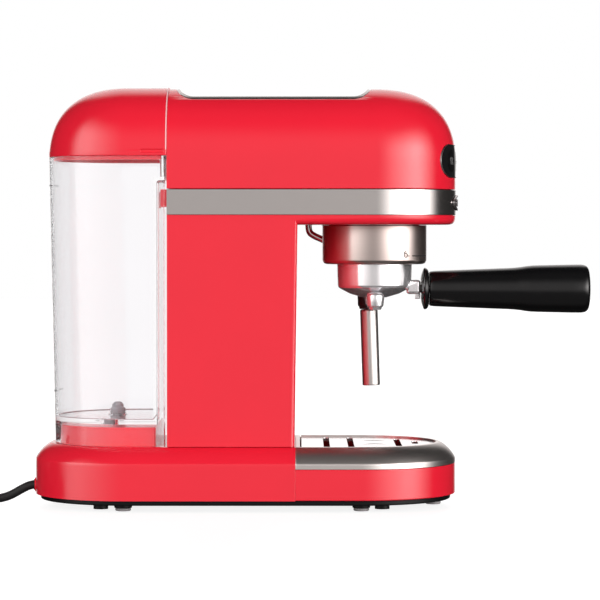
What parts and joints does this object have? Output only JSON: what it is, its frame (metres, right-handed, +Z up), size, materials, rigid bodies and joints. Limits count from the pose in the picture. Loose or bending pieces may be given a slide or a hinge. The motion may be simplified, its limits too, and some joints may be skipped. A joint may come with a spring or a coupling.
{
  "type": "espresso machine",
  "caption": "Slim pump espresso machine with arched top, clear rear water tank, portafilter, steam wand, cup tray and drip tray.",
  "frame": {"origin": "on the surface the machine stands on, under the middle of its bounding box without the mains cord", "axes": "+Z up, -Y towards the front where the portafilter handle points, +X towards the steam wand side"},
  "size_m": [0.14, 0.5641, 0.3052],
  "materials": {
    "red_plastic": "high-gloss moulded red",
    "black_plastic": "gloss black moulded",
    "black_rubber": "satin black flexible",
    "grey_rubber": "matt translucent grey",
    "grey_plastic": "satin grey moulded",
    "clear_plastic": "clear moulded, gloss",
    "brushed_steel": "fine brushed",
    "polished_steel": "mirror polished",
    "aluminium": "as cast",
    "brass": "machined",
    "copper": "drawn tube",
    "silicone": "milky translucent",
    "circuit_board": "solder resist"
  },
  "bodies": {
    "machine": {"base_plate": "black_plastic", "base_housing": "red_plastic", "body_housing": "red_plastic", "head_cover": "red_plastic", "steel_band": "brushed_steel", "badge": "polished_steel", "control_panel": "black_plastic", "control_board": "circuit_board", "cup_tray": "polished_steel", "group_collar": "brushed_steel", "group_head": "aluminium", "group_gasket": "black_rubber", "shower_screen": "brushed_steel", "steam_valve": "brass", "swivel_nut": "brass", "thermoblock": "aluminium", "pump": "black_plastic", "pump_yoke": "brushed_steel", "inlet_hose": "silicone", "pressure_hose": "silicone", "steam_tube": "copper", "coupling_socket": "grey_plastic", "cord_bushing": "black_rubber", "power_cord": "black_rubber", "cord_coil": "black_rubber", "cord_tail": "black_rubber", "plug_body": "black_plastic", "plug_pin_1": "polished_steel", "plug_pin_2": "polished_steel", "foot_pad_1": "grey_rubber", "foot_pad_2": "grey_rubber", "foot_pad_3": "grey_rubber", "foot_pad_4": "grey_rubber", "foot_pad_5": "grey_rubber", "base_screw_1": "brushed_steel", "base_screw_2": "brushed_steel", "base_screw_3": "brushed_steel", "base_screw_4": "brushed_steel"},
    "power_button": {"power_button": "black_plastic"},
    "brew_button": {"brew_button": "black_plastic"},
    "steam_button": {"steam_button": "black_plastic"},
    "steam_knob": {"steam_knob": "black_plastic", "valve_stem": "brass"},
    "steam_wand": {"steam_pipe": "polished_steel", "wand_grip": "black_plastic", "steam_tip": "brass"},
    "frothing_sleeve": {"frothing_sleeve": "polished_steel"},
    "portafilter": {"portafilter_bowl": "polished_steel", "filter_basket": "brushed_steel", "basket_retainer": "polished_steel", "spout": "polished_steel", "handle_flange": "black_plastic", "handle_grip": "black_plastic", "handle_bolt": "brushed_steel"},
    "drip_tray": {"drip_tray": "red_plastic", "tray_rim": "brushed_steel"},
    "drip_grille": {"drip_grille": "polished_steel"},
    "water_tank": {"water_tank": "clear_plastic"},
    "tank_lid": {"tank_lid": "red_plastic"},
    "tank_valve": {"tank_valve": "grey_plastic"}
  },
  "joints": [
    {"name": "power_button_press", "type": "slide", "parent": "machine", "child": "power_button", "axis": [-0.3665, 0.9304, 0], "range_m": [0, 0.0012], "stiffness_N_per_m": 400},
    {"name": "brew_button_press", "type": "slide", "parent": "machine", "child": "brew_button", "axis": [0, 1, 0], "range_m": [0, 0.0012], "stiffness_N_per_m": 400},
    {"name": "steam_button_press", "type": "slide", "parent": "machine", "child": "steam_button", "axis": [0.3665, 0.9304, 0], "range_m": [0, 0.0012], "stiffness_N_per_m": 400},
    {"name": "steam_knob_turn", "type": "hinge", "parent": "machine", "child": "steam_knob", "pos_m": [0.0655, -0.01125, 0.2215], "axis": [1, 0, 0], "range_deg": [0, 270]},
    {"name": "steam_wand_swing", "type": "hinge", "parent": "machine", "child": "steam_wand", "pos_m": [0.048, 0.00225, 0.2053], "axis": [0, 0, 1], "range_deg": [0, 70]},
    {"name": "sleeve_pull", "type": "slide", "parent": "steam_wand", "child": "frothing_sleeve", "axis": [0, -0.0332, -0.9995], "range_m": [0, 0.034]},
    {"name": "portafilter_unlock", "type": "hinge", "parent": "machine", "child": "portafilter", "pos_m": [0, -0.04595, 0.17], "axis": [0, 0, -1], "range_deg": [0, 50]},
    {"name": "drip_tray_slide", "type": "slide", "parent": "machine", "child": "drip_tray", "axis": [0, -1, 0], "range_m": [0, 0.13]},
    {"name": "grille_lift", "type": "slide", "parent": "drip_tray", "child": "drip_grille", "axis": [0, 0, 1], "range_m": [0, 0.034]},
    {"name": "tank_lift", "type": "slide", "parent": "machine", "child": "water_tank", "axis": [0, 0, 1], "range_m": [0, 0.19]},
    {"name": "lid_lift", "type": "slide", "parent": "water_tank", "child": "tank_lid", "axis": [0, 0, 1], "range_m": [0, 0.06]},
    {"name": "tank_valve_open", "type": "slide", "parent": "water_tank", "child": "tank_valve", "axis": [0, 0, 1], "range_m": [0, 0.002], "stiffness_N_per_m": 150}
  ]
}
